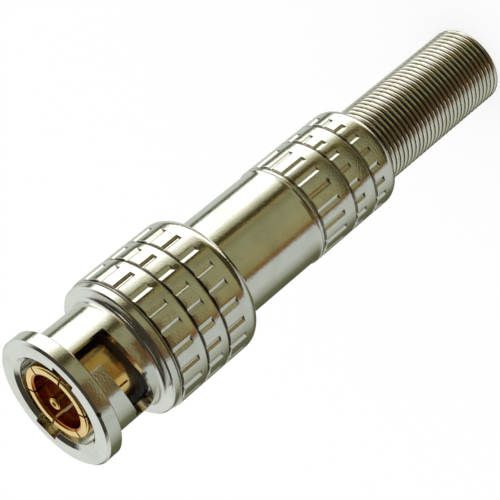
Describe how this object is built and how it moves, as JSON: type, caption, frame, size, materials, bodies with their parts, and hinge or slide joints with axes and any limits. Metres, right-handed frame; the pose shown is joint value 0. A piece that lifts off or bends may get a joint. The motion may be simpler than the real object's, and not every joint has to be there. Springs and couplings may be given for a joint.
{
  "type": "bnc connector",
  "caption": "Male bayonet coaxial plug with fluted coupling ring, gold contacts, screw-on fluted tail and coiled strain relief",
  "frame": {"origin": "centre of the ground end of the tail coil, on which the plug stands", "axes": "+Z along the plug's axis towards the mating face, -Y towards the near bayonet slot"},
  "size_m": [0.0153, 0.0152, 0.0629],
  "materials": {
    "nickel": "polished",
    "gold": "polished",
    "spring_steel": "satin",
    "white_plastic": "matte",
    "black_rubber": "matte"
  },
  "bodies": {
    "plug": {"plug_body": "nickel", "outer_contact": "gold", "front_insulator": "white_plastic", "rear_insulator": "white_plastic", "centre_pin": "gold", "gasket": "black_rubber", "wave_washer": "spring_steel", "braid_clip": "nickel"},
    "bearing": {"thrust_washer": "spring_steel"},
    "ring": {"coupling_ring": "nickel", "snap_ring": "spring_steel"},
    "liner": {"insulating_liner": "white_plastic"},
    "tail": {"tail_shell": "nickel", "tail_coil": "spring_steel"}
  },
  "joints": [
    {"name": "ring_float", "type": "slide", "parent": "plug", "child": "bearing", "axis": [0, 0, 1], "range_m": [0, 0.0006], "stiffness_N_per_m": 8000, "deforming": ["wave_washer"]},
    {"name": "ring_turn", "type": "hinge", "parent": "bearing", "child": "ring", "pos_m": [0, 0, 0.051], "axis": [0, 0, 1], "continuous": true},
    {"name": "tail_withdraw", "type": "slide", "parent": "plug", "child": "liner", "axis": [0, 0, -1], "range_m": [0, 0.0046]},
    {"name": "tail_screw", "type": "hinge", "parent": "liner", "child": "tail", "pos_m": [0, 0, 0.04], "axis": [0, 0, -1], "range_deg": [0, 2160]}
  ],
  "couplings": [
    {"joint": "tail_withdraw", "follows": "tail_screw", "m_per_rad": 0.00011937}
  ]
}
